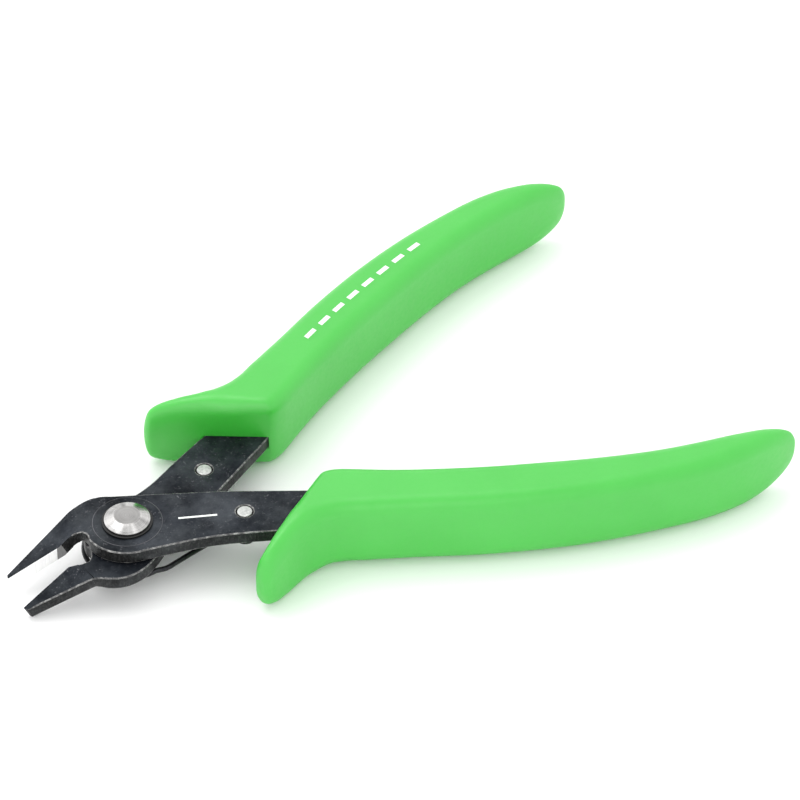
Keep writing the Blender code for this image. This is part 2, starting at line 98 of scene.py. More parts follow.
# --- node material helpers ------------------------------------------------------------------------
class Nodes:
    """Builds one material's nodes."""

    def __init__(self, name, colour, roughness, metallic):
        self.material = bpy.data.materials.new(name)
        self.material.use_nodes = True
        self.tree = self.material.node_tree
        self.shader = self.tree.nodes["Principled BSDF"]
        self.shader.inputs["Base Color"].default_value = (*colour, 1)
        self.shader.inputs["Roughness"].default_value = roughness
        self.shader.inputs["Metallic"].default_value = metallic
        self.coords = self.tree.nodes.new("ShaderNodeTexCoord")

    def link(self, output, target):
        self.tree.links.new(output, target)

    def add(self, kind, **settings):
        node = self.tree.nodes.new(kind)
        for key, value in settings.items():
            setattr(node, key, value)
        return node

    def stretched(self, scale, rotation=(0, 0, 0)):
        """The piece's own coordinates, scaled along each axis and turned."""
        mapping = self.add("ShaderNodeMapping")
        mapping.inputs["Scale"].default_value = scale
        mapping.inputs["Rotation"].default_value = rotation
        self.link(self.coords.outputs["Object"], mapping.inputs["Vector"])
        return mapping.outputs["Vector"]

    def noise(self, scale, detail=2.0, rough=0.5, vector=None):
        node = self.add("ShaderNodeTexNoise")
        node.inputs["Scale"].default_value = scale
        node.inputs["Detail"].default_value = detail
        node.inputs["Roughness"].default_value = rough
        self.link(vector or self.coords.outputs["Object"], node.inputs["Vector"])
        return node.outputs["Fac"]

    def ramp(self, value, stops):
        """A colour ramp with a stop for each (place, colour or grey) pair."""
        node = self.add("ShaderNodeValToRGB")
        ramp = node.color_ramp
        while len(ramp.elements) < len(stops):
            ramp.elements.new(0.5)
        for element, (place, colour) in zip(ramp.elements, stops):
            element.position = place
            element.color = (*colour, 1) if hasattr(colour, "__len__") else (colour, colour, colour, 1)
        self.link(value, node.inputs["Fac"])
        return node.outputs["Color"]

    def maths(self, operation, a, b=0.0):
        node = self.add("ShaderNodeMath", operation=operation)
        for socket, value in zip(node.inputs, (a, b)):
            if isinstance(value, (int, float)):
                socket.default_value = value
            else:
                self.link(value, socket)
        return node.outputs[0]

    def mixed(self, factor, a, b):
        node = self.add("ShaderNodeMix", data_type="RGBA")
        for index, value in ((0, factor), (6, a), (7, b)):
            socket = node.inputs[index]
            if isinstance(value, bpy.types.NodeSocket):
                self.link(value, socket)
            elif index == 0:
                socket.default_value = value
            else:
                socket.default_value = (*value, 1)
        return node.outputs[2]

    def bump(self, height, strength, distance, below=None):
        node = self.add("ShaderNodeBump")
        node.inputs["Strength"].default_value = strength
        node.inputs["Distance"].default_value = distance
        self.link(height, node.inputs["Height"])
        if below:
            self.link(below, node.inputs["Normal"])
        return node.outputs["Normal"]

    def to(self, socket, output):
        """Feeds one of the shader's sockets."""
        self.link(output, self.shader.inputs[socket])


RING_R, RING_WIDTH = 5.85, 0.16  # the fine circle struck round the pivot, in millimetres


def blackened_steel(name, ringed):
    """Black oxide on sheet steel: a smudged film with fine scratches and pale specks, and finely grained
    sheared sides. A ringed sheet also has the fine circle struck round its pivot, with a painted glint on
    it."""
    n = Nodes(name, (0.012, 0.012, 0.015), 0.36, 0.0)
    n.shader.inputs["Specular Tint"].default_value = (0.84, 0.93, 1.0, 1)
    n.to("Specular IOR Level", n.ramp(n.noise(170, 6, 0.72), [(0.38, 0.07), (0.5, 0.21), (0.64, 0.43)]))
    smudge = n.noise(120, 4, 0.6)
    base = n.ramp(smudge, [(0.3, (0.004, 0.005, 0.007)), (0.5, (0.010, 0.012, 0.016)),
                           (0.7, (0.030, 0.034, 0.042))])
    specks = n.ramp(n.noise(2300, 3, 0.6), [(0.58, 0.0), (0.68, 1.0)])
    patchy = n.ramp(n.noise(420, 4, 0.7), [(0.46, 0.0), (0.66, 0.9)])
    speckled = n.mixed(n.maths("MULTIPLY", specks, patchy), base, (0.12, 0.12, 0.13))
    drawn_out = n.stretched((260, 4200, 260), (0, 0, 0.5))
    lines = n.ramp(n.noise(1, 3, 0.6, drawn_out), [(0.66, 0.0), (0.74, 0.6)])
    scratched = n.ramp(n.noise(210, 3, 0.6), [(0.5, 0.0), (0.62, 1.0)])
    surface = n.mixed(n.maths("MULTIPLY", lines, scratched), speckled, (0.10, 0.10, 0.11))
    geometry = n.add("ShaderNodeNewGeometry")
    split = n.add("ShaderNodeSeparateXYZ")
    n.link(geometry.outputs["Normal"], split.inputs[0])
    steep = n.maths("ABSOLUTE", split.outputs["Z"])
    side = n.ramp(steep, [(0.3, 1.0), (0.55, 0.0)])
    grain = n.noise(1, 4, 0.7, n.stretched((3600, 3600, 1500)))
    side_colour = n.ramp(grain, [(0.36, (0.006, 0.006, 0.006)), (0.52, (0.013, 0.013, 0.013)),
                                 (0.68, (0.045, 0.045, 0.044))])
    colour = n.mixed(side, surface, side_colour)
    fine = n.bump(n.noise(2600, 4, 0.7), 0.5, 0.00003)
    normal = n.bump(n.noise(260, 4, 0.55), 0.35, 0.0001, fine)
    if ringed:
        ring = ring_mask(n, RING_R, RING_WIDTH)
        # lighter patches along the circle: a painted glint where the struck circle catches the light
        painted_ring_glint = n.ramp(n.noise(160, 2, 0.5), [(0.4, 0.25), (0.62, 0.9)])
        colour = n.mixed(n.maths("MULTIPLY", ring, painted_ring_glint), colour, (0.10, 0.10, 0.11))
        normal = n.bump(n.maths("SUBTRACT", 1.0, ring), 0.9, 0.00016, normal)
    n.to("Base Color", colour)
    n.to("Roughness", n.ramp(n.noise(240, 5, 0.7), [(0.32, 0.24), (0.68, 0.5)]))
    n.to("Normal", normal)
    return n.material


def ring_mask(n, radius, width):
    """One on a narrow circle round the pivot, nought elsewhere; radius and width are in millimetres."""
    mapping = n.add("ShaderNodeMapping")
    mapping.inputs["Location"].default_value = (-PIVOT.x / MM, -PIVOT.y / MM, 0)
    mapping.inputs["Scale"].default_value = (1 / MM, 1 / MM, 0)
    n.link(n.coords.outputs["Object"], mapping.inputs["Vector"])
    length = n.add("ShaderNodeVectorMath", operation="LENGTH")
    n.link(mapping.outputs["Vector"], length.inputs[0])
    away = n.maths("ABSOLUTE", n.maths("SUBTRACT", length.outputs["Value"], radius))
    return n.ramp(n.maths("DIVIDE", away, width), [(0.35, 1.0), (1.0, 0.0)])


def worn_edge():
    """Rounded corners where the film has begun to rub through."""
    n = Nodes("worn_edge", (0.03, 0.03, 0.03), 0.3, 0.2)
    wear = n.noise(1100, 5, 0.75)
    n.to("Base Color", n.ramp(wear, [(0.36, (0.03, 0.03, 0.032)), (0.5, (0.10, 0.10, 0.10)),
                                     (0.66, (0.38, 0.38, 0.37))]))
    n.to("Roughness", n.ramp(wear, [(0.3, 0.26), (0.7, 0.42)]))
    n.to("Normal", n.bump(n.noise(2600, 3, 0.6), 0.4, 0.00003))
    return n.material


def ground_steel(name, dark, light):
    """Ground faces of the cutting edges, with faint grinding lines across them."""
    n = Nodes(name, (light, light, light), 0.34, 0.15)
    lines = n.noise(1, 2, 0.6, n.stretched((5200, 700, 420)))
    n.to("Base Color", n.ramp(lines, [(0.3, (dark, dark, dark)), (0.7, (light, light, light * 0.99))]))
    n.to("Roughness", n.ramp(lines, [(0.3, 0.3), (0.7, 0.42)]))
    n.to("Normal", n.bump(lines, 0.12, 0.00002))
    return n.material


def turned_steel(name, dark, light, rough, painted_reflection_share):
    """Turned steel with fine rings round its own axis and a faint film. Light and dark sectors fanned out
    round it are painted reflections of the room.
    """
    n = Nodes(name, (light, light, light), rough, 1.0)
    rings = n.noise(1, 3, 0.7, ring_vector(n))
    tone = n.noise(420, 3, 0.5)
    # light and dark sectors round the axis: painted reflections
    painted_reflection_fan = n.noise(1.5, 2, 0.5, fan_vector(n))
    even = n.maths("ADD", n.maths("MULTIPLY", rings, 0.6), n.maths("MULTIPLY", tone, 0.4))
    tones = n.maths("ADD", n.maths("MULTIPLY", even, 1 - painted_reflection_share), n.maths("MULTIPLY", painted_reflection_fan, painted_reflection_share))
    n.to("Base Color", n.ramp(tones, [(0.38, (dark, dark * 0.98, dark * 0.96)),
                                      (0.62, (light, light * 0.985, light * 0.97))]))
    n.to("Roughness", n.ramp(tone, [(0.3, rough - 0.05), (0.7, rough + 0.07)]))
    n.to("Normal", n.bump(rings, 0.3, 0.00003))
    return n.material


def fan_vector(n):
    """A coordinate that changes only with the direction from the piece's own axis."""
    turned = n.add("ShaderNodeVectorMath", operation="NORMALIZE")
    n.link(n.stretched((1, 1, 0)), turned.inputs[0])
    return turned.outputs["Vector"]


RINGS_A_METRE = 5500             # how closely a turned face's tool marks follow each other


def ring_vector(n):
    """A coordinate that runs outwards from the piece's own axis."""
    flat = n.stretched((1, 1, 0))
    length = n.add("ShaderNodeVectorMath", operation="LENGTH")
    n.link(flat, length.inputs[0])
    scaled = n.maths("MULTIPLY", length.outputs["Value"], RINGS_A_METRE)
    combine = n.add("ShaderNodeCombineXYZ")
    n.link(scaled, combine.inputs[0])
    return combine.outputs[0]


def pin_steel():
    """Pin ends ground flush, matt and pale."""
    n = Nodes("pin_steel", (0.5, 0.5, 0.49), 0.42, 0.6)
    film = n.noise(1900, 4, 0.7)
    n.to("Base Color", n.ramp(film, [(0.34, (0.36, 0.37, 0.36)), (0.66, (0.62, 0.63, 0.61))]))
    n.to("Normal", n.bump(n.noise(2600, 2, 0.5), 0.3, 0.00003))
    return n.material


def dark_washer():
    """A washer under the rivet's head, coloured near black as painted shade under the head."""
    n = Nodes("dark_washer", (0.006, 0.006, 0.006), 0.42, 0.2)
    n.to("Roughness", n.ramp(n.noise(1800, 3, 0.6), [(0.3, 0.34), (0.7, 0.5)]))
    n.to("Normal", n.bump(n.noise(2600, 2, 0.5), 0.3, 0.00003))
    return n.material


def spring_wire():
    """Drawn wire with an uneven dark film."""
    n = Nodes("spring_wire", (0.022, 0.023, 0.025), 0.34, 0.9)
    film = n.noise(1400, 3, 0.6)
    n.to("Base Color", n.ramp(film, [(0.3, (0.018, 0.019, 0.021)), (0.7, (0.05, 0.051, 0.055))]))
    n.to("Normal", n.bump(n.noise(3200, 2, 0.5), 0.3, 0.00003))
    return n.material


def green_vinyl():
    """Satin moulded vinyl: fine grain over a faintly uneven skin."""
    n = Nodes("green_vinyl", (0.036, 0.46, 0.034), 0.42, 0.0)
    tone = n.noise(90, 3, 0.5)
    n.to("Base Color", n.ramp(tone, [(0.3, (0.033, 0.455, 0.031)), (0.7, (0.042, 0.485, 0.040))]))
    n.shader.inputs["Specular IOR Level"].default_value = 0.95
    n.shader.inputs["Subsurface Weight"].default_value = 0.3
    n.shader.inputs["Subsurface Radius"].default_value = (0.25, 1.0, 0.25)
    n.shader.inputs["Subsurface Scale"].default_value = 0.0025
    n.to("Roughness", n.ramp(n.noise(1200, 3, 0.6), [(0.3, 0.36), (0.7, 0.48)]))
    skin = n.bump(n.noise(150, 3, 0.5), 0.18, 0.0002)
    n.to("Normal", n.bump(n.noise(2600, 3, 0.7), 0.4, 0.00003, skin))
    return n.material


def white_print():
    """White ink, a little uneven and faintly green where it is thin."""
    n = Nodes("white_print", (0.86, 0.88, 0.86), 0.5, 0.0)
    ink = n.noise(3000, 3, 0.6)
    n.to("Base Color", n.ramp(ink, [(0.32, (0.66, 0.74, 0.66)), (0.5, (0.86, 0.88, 0.86))]))
    n.to("Roughness", n.ramp(ink, [(0.3, 0.42), (0.7, 0.56)]))
    return n.material


RINGED_STEEL = blackened_steel("ringed_steel", True)
STEEL = blackened_steel("blackened_steel", False)
WORN = worn_edge()
# the ground faces' near-white colour is bare ground steel with a painted reflection of the white room in it
GROUND = ground_steel("ground_steel", 0.86, 0.97)
HEEL = ground_steel("heel_steel", 0.16, 0.26)
LAND = turned_steel("turned_land", 0.24, 0.36, 0.38, 0.0)
# the cone's light and dark sectors are painted reflections
CONE = turned_steel("turned_cone", 0.14, 0.72, 0.2, 0.6)
PIN = pin_steel()
WASHER = dark_washer()
WIRE = spring_wire()
VINYL = green_vinyl()
PRINT = white_print()


# --- mesh helpers ---------------------------------------------------------------------------------
def add_piece(name, mesh, materials, body, replaced=()):
    """A visual piece that rides on a body, if one is given, in place of the CAD nodes it replaces."""
    for material in materials:
        mesh.materials.append(material)
    piece = bpy.data.objects.new(name, mesh)
    bpy.context.scene.collection.objects.link(piece)
    if body:
        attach(piece, body)
    if replaced:
        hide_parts(*replaced)
    return piece


def fresh_mesh(name, work):
    """A mesh from bmesh faces alone, without any stored normals."""
    work.verts.index_update()
    points = [tuple(v.co) for v in work.verts]
    faces = [tuple(v.index for v in face.verts) for face in work.faces]
    indices = [face.material_index for face in work.faces]
    mesh = bpy.data.meshes.new(name)
    mesh.from_pydata(points, [], faces)
    mesh.polygons.foreach_set("material_index", indices)
    mesh.update()
    return mesh


WELD = 1e-7                      # metres: nearer points are one point
CORNER_SHARE = 0.45              # the largest share of a profile's side that a rounded corner takes


def welded_copy(node, flatten=0.0):
    """The CAD node's faces, welded, and joined where they lie flat to within an angle in degrees."""
    work = bmesh.new()
    work.from_mesh(frame["nodes"][node].data)
    bmesh.ops.remove_doubles(work, verts=work.verts, dist=WELD)
    if flatten:
        bmesh.ops.dissolve_limit(work, angle_limit=radians(flatten), verts=work.verts, edges=work.edges)
    for face in work.faces:
        face.material_index = 0
    return work


def shade(piece, angle):
    """Smooth shading up to an angle in degrees."""
    piece.data.shade_smooth()
    piece.data.set_sharp_from_angle(angle=radians(angle))


def lathe(name, profile, steps):
    """A turned mesh about its own z axis from (radius, height) pairs in millimetres, top down."""
    work = bmesh.new()
    rings = []
    for radius, height in profile:
        if radius == 0:
            rings.append([work.verts.new((0, 0, height * MM))])
            continue
        ring = []
        for i in range(steps):
            angle = 2 * pi * i / steps
            ring.append(work.verts.new((radius * MM * cos(angle), radius * MM * sin(angle), height * MM)))
        rings.append(ring)
    for upper, lower in zip(rings, rings[1:]):
        for i in range(steps):
            j = (i + 1) % steps
            corners = [upper[i % len(upper)], upper[j % len(upper)], lower[j % len(lower)],
                       lower[i % len(lower)]]
            unique = list(dict.fromkeys(corners))
            work.faces.new(unique)
    bmesh.ops.recalc_face_normals(work, faces=work.faces)
    mesh = fresh_mesh(name, work)
    work.free()
    return mesh


def rounded_profile(points, radius, steps=4):
    """The profile with its inner corners rounded, as far as each corner's sides allow."""
    result = [points[0]]
    for before, corner, after in zip(points, points[1:], points[2:]):
        here = Vector(corner)
        back = Vector(before) - here
        on = Vector(after) - here
        reach = min(radius, back.length * CORNER_SHARE, on.length * CORNER_SHARE)
        start = here + back.normalized() * reach
        end = here + on.normalized() * reach
        for k in range(steps + 1):
            t = k / steps
            result.append(tuple(start * (1 - t) ** 2 + here * 2 * t * (1 - t) + end * t * t))
    result.append(points[-1])
    return result


# --- levers ---------------------------------------------------------------------------------------
HEEL_X = 12.45 * MM              # where the ground edge ends and its heel step begins
GRIND_X = 11.2 * MM              # the ground faces lie past here
GRIND_HALF = 0.75 * MM           # and no further from the closed jaws' middle line than this
FACES_ACROSS = 0.3               # least share of a ground face's normal that points at the other jaw
EDGE_R = 0.22                    # rounding of the sheet's edges, in millimetres
JAW_X = 9.5 * MM                 # past here the jaws taper
JAW_OUTSIDE = 1.0 * MM           # further from the middle line than this is a jaw's outer side
LEAST_TURN, MOST_TURN = 55, 125  # degrees the surface turns by at an edge of the sheet
EDGE_SLOPE = 0.6                 # an edge that rises more than this runs up the sheared side
FLAT, BENT = 0.05, 0.2           # degrees: flatter faces are joined, more bent ones are split
SLIVER, FINE_SLIVER = 0.02 * MM, 0.002 * MM  # shorter edges are closed up
ROUND_STEPS = 3                  # flats across each rounded edge


def closed_turn(lever):
    """Turns a lever from the open rest into its closed position."""
    return Matrix.Rotation(lever.sign * CLOSING_ANGLE / 2, 3, "Z")


def ground_share(face, lever):
    """Which material a face has by its place on the ground cutting edge: 0 none, 2 ground, 3 heel."""
    turn = closed_turn(lever)
    centre = turn @ (face.calc_center_median() - PIVOT)
    normal = turn @ face.normal
    if abs(centre.y) > GRIND_HALF or normal.y * lever.sign < FACES_ACROSS or centre.x < GRIND_X:
        return 0
    return 2 if centre.x > HEEL_X else 3


def is_edge_of_sheet(edge):
    """A sharp edge between one of the sheet's faces and its sheared side, not one up the side."""
    if len(edge.link_faces) != 2 or not LEAST_TURN < degrees(edge.calc_face_angle(0)) < MOST_TURN:
        return False
    along = (edge.verts[1].co - edge.verts[0].co).normalized()
    return abs(along.z) < EDGE_SLOPE


def sheet_edges(work, lever):
    """The sheet's edges all round the lever and on along each jaw's outer side."""
    turn = closed_turn(lever)
    edges = []
    for edge in work.edges:
        ends = [turn @ (v.co - PIVOT) for v in edge.verts]
        behind_jaw = max(p.x for p in ends) < JAW_X
        outside = all(p.x > 0 and abs(p.y) > JAW_OUTSIDE for p in ends)
        if is_edge_of_sheet(edge) and (behind_jaw or outside):
            edges.append(edge)
    return edges


def make_blade(lever, steel):
    """The CAD lever with its edges rounded and worn, and its cutting edge and heel ground."""
    work = welded_copy(lever.blade, FLAT)
    bmesh.ops.dissolve_degenerate(work, dist=SLIVER, edges=work.edges)
    bmesh.ops.connect_verts_nonplanar(work, angle_limit=radians(BENT), faces=work.faces[:])
    split = closed_turn(lever).inverted()
    bmesh.ops.bisect_plane(work, geom=work.verts[:] + work.edges[:] + work.faces[:], dist=WELD,
                           plane_co=PIVOT + split @ Vector((HEEL_X, 0, 0)),
                           plane_no=split @ Vector((1, 0, 0)))
    work.normal_update()
    for face in work.faces:
        face.material_index = ground_share(face, lever)
    bmesh.ops.bevel(work, geom=sheet_edges(work, lever), offset=EDGE_R * MM, offset_type="OFFSET",
                    segments=ROUND_STEPS, profile=0.5, affect="EDGES", clamp_overlap=False, material=1)
    bmesh.ops.dissolve_degenerate(work, dist=FINE_SLIVER, edges=work.edges)
    bmesh.ops.triangulate(work, faces=[f for f in work.faces if len(f.verts) > 4])
    bmesh.ops.dissolve_degenerate(work, dist=FINE_SLIVER, edges=work.edges)
    mesh = fresh_mesh(lever.blade + "_look", work)
    work.free()
    piece = add_piece(lever.blade + "_look", mesh, [steel, WORN, GROUND, HEEL], lever.body,
                      [lever.blade])
    shade(piece, 40)
    piece.modifiers.new("flat_faces", "WEIGHTED_NORMAL").keep_sharp = True
    return piece


# --- turned pieces --------------------------------------------------------------------------------
LAND_R = 2.2                     # the flat on top of the rivet's cone
RIM_HEIGHT = 0.32                # the upright rim below the cone
SHANK_R = 2.2
REAR_R, REAR_LAND_R = 3.4, 2.4   # the rear head and the flat under it
REAR_RIM = 0.3                   # how far below the lever the rear head's rim ends
REST_GAP = 0.06                  # clearance under each head
WASHER_HOLE_R = 2.28
NECK_R, NECK_TOP = 0.8, 4.68     # the pins' necks, which stand in the spring's eyes
CORNER_R, PIN_CORNER_R = 0.07, 0.14
TURNED_STEPS, PIN_STEPS = 96, 48
LAND_DEPTH = 0.01 * MM           # faces this near the rivet's top belong to its land


def make_turned(name, node, profile, radius, steps, materials, body):
    """A lathed piece that stands on the middle of the CAD node it replaces."""
    mesh = lathe(name, rounded_profile(profile, radius), steps)
    piece = bpy.data.objects.new(name, mesh)
    for material in materials:
        mesh.materials.append(material)
    bpy.context.scene.collection.objects.link(piece)
    spot = middle(node)
    piece.location = (spot.x, spot.y, 0)
    bpy.context.view_layer.update()
    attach(piece, body)
    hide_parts(node)
    shade(piece, 35)
    piece.modifiers.new("flat_faces", "WEIGHTED_NORMAL").keep_sharp = True
    return piece


def make_rivet():
    low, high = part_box("pivot_rivet")
    rim = (high.x - low.x) / 2 / MM
    top, bottom = high.z / MM, low.z / MM
    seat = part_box("rivet_washer")[1].z / MM + REST_GAP
    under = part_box("lower_blade_lever")[1].z / MM - PLATE / MM
    rear = under - REST_GAP
    profile = [(0, top), (LAND_R, top), (rim, seat + RIM_HEIGHT), (rim, seat), (SHANK_R, seat),
               (SHANK_R, rear), (REAR_R, rear), (REAR_R, under - REAR_RIM), (REAR_LAND_R, bottom),
               (0, bottom)]
    rivet = make_turned("pivot_rivet_look", "pivot_rivet", profile, CORNER_R, TURNED_STEPS, [CONE, LAND],
                        "lower_lever")
    for face in rivet.data.polygons:
        if face.center.z > high.z - LAND_DEPTH:
            face.material_index = 1


def make_washer():
    low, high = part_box("rivet_washer")
    outer = (high.x - low.x) / 2 / MM
    top, bottom = high.z / MM, low.z / MM
    profile = [(WASHER_HOLE_R, top), (outer, top), (outer, bottom), (WASHER_HOLE_R, bottom),
               (WASHER_HOLE_R, top)]
    make_turned("rivet_washer_look", "rivet_washer", profile, CORNER_R, TURNED_STEPS, [WASHER],
                "lower_lever")


def make_pin(lever):
    low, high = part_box(lever.pin)
    radius = (high.x - low.x) / 2 / MM
    top, bottom = high.z / MM, low.z / MM
    profile = [(0, top), (radius, top), (radius, NECK_TOP), (NECK_R, NECK_TOP), (NECK_R, bottom),
               (0, bottom)]
    make_turned(lever.pin + "_look", lever.pin, profile, PIN_CORNER_R, PIN_STEPS, [PIN], lever.body)


# --- spring ---------------------------------------------------------------------------------------
def make_spring():
    """The wire between the two levers, a welded copy of the CAD part on neither lever's body."""
    work = welded_copy("return_spring")
    mesh = fresh_mesh("return_spring_look", work)
    work.free()
    piece = add_piece("return_spring_look", mesh, [WIRE], None, ["return_spring"])
    shade(piece, 50)
    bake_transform(piece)


# --- grips ----------------------------------------------------------------------------------------
# Cross-sections from the tip of the finger guard, behind the front face and on to the rounded tail: the
# plan point of the front or inner side and that of the back or outer side, in millimetres along and out
# from the pivot, how far the section stands short of the full height, how crisp the front face's lower
# edge is, and how far the section belongs to the finger guard.
SECTIONS = [
    (20.8, 14.5, 21.2, 14.8, 6.7, 1.0, 1.0), (20.5, 14.3, 21.5, 14.95, 5.4, 1.0, 1.0),
    (20.15, 13.8, 22.2, 14.9, 3.6, 1.0, 1.0), (20.05, 13.2, 22.7, 14.65, 2.2, 1.0, 1.0),
    (20.3, 12.6, 23.5, 14.1, 1.3, 1.0, 1.0), (21.2, 11.55, 24.7, 13.0, 0.6, 1.0, 0.95),
    (22.3, 10.1, 25.8, 11.8, 0.2, 1.0, 0.85), (23.6, 8.37, 27.1, 10.5, 0.0, 1.0, 0.7),
    (25.0, 6.5, 28.5, 9.2, 0.0, 1.0, 0.55), (26.6, 4.37, 29.9, 8.15, 0.0, 1.0, 0.4),
    (28.3, 2.1, 31.4, 7.4, 0.0, 1.0, 0.25), (30.0, -0.17, 32.8, 6.85, 0.0, 1.0, 0.1),
    (31.5, -2.15, 34.1, 6.5, 0.0, 1.0, 0.0), (32.25, -3.2, 35.2, 6.4, 0.0, 0.9, 0.0),
    (33.0, -4.05, 36.0, 6.35, 0.0, 0.8, 0.0), (34.2, -4.45, 36.9, 6.35, 0.0, 0.65, 0.0),
    (36.0, -4.5, 38.2, 6.45, 0.0, 0.5, 0.0), (38.0, -4.25, 39.6, 6.6, 0.0, 0.35, 0.0),
    (40.6, -3.85, 41.2, 6.65, 0.0, 0.2, 0.0), (44.0, -3.35, 43.8, 6.8, 0.0, 0.1, 0.0),
    (48.2, -2.85, 47.8, 7.0, 0.0, 0.0, 0.0), (53.0, -2.45, 52.4, 7.35, 0.0, 0.0, 0.0),
    (58.0, -2.1, 57.4, 7.7, 0.0, 0.0, 0.0), (63.6, -1.87, 63.0, 7.86, 0.0, 0.0, 0.0),
    (69.8, -1.78, 69.2, 7.85, 0.0, 0.0, 0.0), (76.6, -1.72, 76.0, 7.5, 0.0, 0.0, 0.0),
    (83.4, -1.9, 83.4, 6.7, 0.0, 0.0, 0.0), (90.4, -2.4, 91.2, 5.35, 0.0, 0.0, 0.0),
    (97.2, -3.4, 98.3, 3.7, 0.0, 0.0, 0.0), (103.0, -4.55, 104.3, 1.4, 0.1, 0.0, 0.0),
    (107.3, -5.45, 108.6, -1.0, 0.55, 0.0, 0.0), (110.6, -6.2, 111.7, -3.05, 1.6, 0.0, 0.0),
    (113.0, -6.5, 113.7, -4.65, 3.0, 0.0, 0.0), (114.2, -6.35, 114.5, -5.4, 4.6, 0.0, 0.0),
    (114.6, -6.1, 114.7, -5.75, 5.8, 0.0, 0.0),
]
SECTION_STEPS = 4
CORNER_STEPS = 8
GRIP_INSET = 0.04                # leaves room for the print within the part's own height
SIDE_INSET = 0.05                # keeps the sides within the part's own sides
GRIP_TOP_R = 2.6                 # the grip's corners: both upper ones,
GRIP_BOTTOM_R = 4.0              # both lower ones
GRIP_FRONT_R = 2.8               # and the lower edge of its front face
GUARD_FRONT_R = 4.6              # the guard's corners: the upper front one,
GUARD_BACK_R = 3.2               # the upper back one
GUARD_FOOT_R = 2.8               # and the lower back one
ROUNDEST = 0.97                  # the largest share of half a side that a rounding takes
GUARD_DROP = 1.5                 # how much lower the top of the guard's tip is than the grip's back
GUARD_DROP_START = 0.4           # how far into the guard the drop begins
GUARD_FOOT = 0.8                 # share of a section's shortfall that its foot stands off the floor
TAIL_FOOT = 1.15                 # the same at the tail, which is cut back underneath
SLOT_GAP = 0.14                  # round the tang in the mouth of the grip
# The mouth's plan points, and the side of the tang that each one keeps clear of.
SLOT_PLAN = [(14, 6.2, 1), (30.5, 5.05, 1), (36, 4.85, 1), (44, 5.0, 1), (44, -1.1, -1),
             (38, -2.45, -1), (31, -3.7, -1), (22, -5.3, -1), (14, -5.3, -1)]


def blend(a, b, share):
    return a + (b - a) * share


def catmull(before, a, b, after, t):
    """A smooth curve through a and b, which takes its direction from the points before and after."""
    return 0.5 * (2 * a + (b - before) * t + (2 * before - 5 * a + 4 * b - after) * t * t
                  + (3 * a - before - 3 * b + after) * t ** 3)


def fine_sections():
    """The sections with smooth steps between them."""
    padded = [SECTIONS[0]] + SECTIONS + [SECTIONS[-1]]
    fine = []
    for i in range(1, len(padded) - 2):
        for k in range(SECTION_STEPS):
            t = k / SECTION_STEPS
            fine.append([catmull(*values, t) for values in zip(*padded[i - 1:i + 3])])
    fine.append(list(SECTIONS[-1]))
    return fine


def section_ring(lever, section, height):
    """A rounded rectangle that stands upright on the line between the section's two plan points."""
    x0, y0, x1, y1, short, front, guard = section
    short = max(short, 0)
    first, second = Vector((x0, y0)), Vector((x1, y1))
    centre = (first + second) / 2
    across = (second - first).normalized()
    half = (second - first).length / 2 - SIDE_INSET
    fall = GUARD_DROP * max(guard - GUARD_DROP_START, 0) / (1 - GUARD_DROP_START)
    high, low = height - short - fall, short * blend(TAIL_FOOT, GUARD_FOOT, guard)
    corners = ((1, 1, blend(GRIP_TOP_R, GUARD_BACK_R, guard), 0),
               (-1, 1, blend(GRIP_TOP_R, GUARD_FRONT_R, guard), 90),
               (-1, -1, blend(GRIP_BOTTOM_R, GRIP_FRONT_R, front), 180),
               (1, -1, blend(GRIP_BOTTOM_R, GUARD_FOOT_R, guard), 270))
    points = []
    for side, up, radius, start in corners:
        tall_r = min(radius, (high - low) / 2 * ROUNDEST)
        wide_r = min(radius, half * ROUNDEST)
        middle_u = side * (half - wide_r)
        edge = high if up > 0 else low
        for i in range(CORNER_STEPS + 1):
            angle = radians(start + 90 * i / CORNER_STEPS)
            place = centre + across * (middle_u + wide_r * cos(angle))
            z = edge - up * tall_r + tall_r * sin(angle)
            points.append(lever.spot(place.x, place.y, z * MM))
    return points


def grip_mesh(lever):
    """The loft through the sections."""
    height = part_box(lever.grip)[1].z / MM - GRIP_INSET
    work = bmesh.new()
    rings = [[work.verts.new(p) for p in section_ring(lever, s, height)] for s in fine_sections()]
    count = len(rings[0])
    for near, far in zip(rings, rings[1:]):
        for i in range(count):
            j = (i + 1) % count
            work.faces.new((near[i], near[j], far[j], far[i]))
    work.faces.new(rings[0])
    work.faces.new(rings[-1])
    bmesh.ops.recalc_face_normals(work, faces=work.faces)
    mesh = fresh_mesh(lever.grip + "_look", work)
    work.free()
    return mesh


def prism(name, corners, low, high):
    """A closed prism over plan corners, between two heights in metres."""
    work = bmesh.new()
    bottom = [work.verts.new((p.x, p.y, low)) for p in corners]
    top = [work.verts.new((p.x, p.y, high)) for p in corners]
    work.faces.new(bottom)
    work.faces.new(top)
    for i in range(len(corners)):
        j = (i + 1) % len(corners)
        work.faces.new((bottom[i], bottom[j], top[j], top[i]))
    bmesh.ops.recalc_face_normals(work, faces=work.faces)
    mesh = fresh_mesh(name, work)
    work.free()
    return mesh


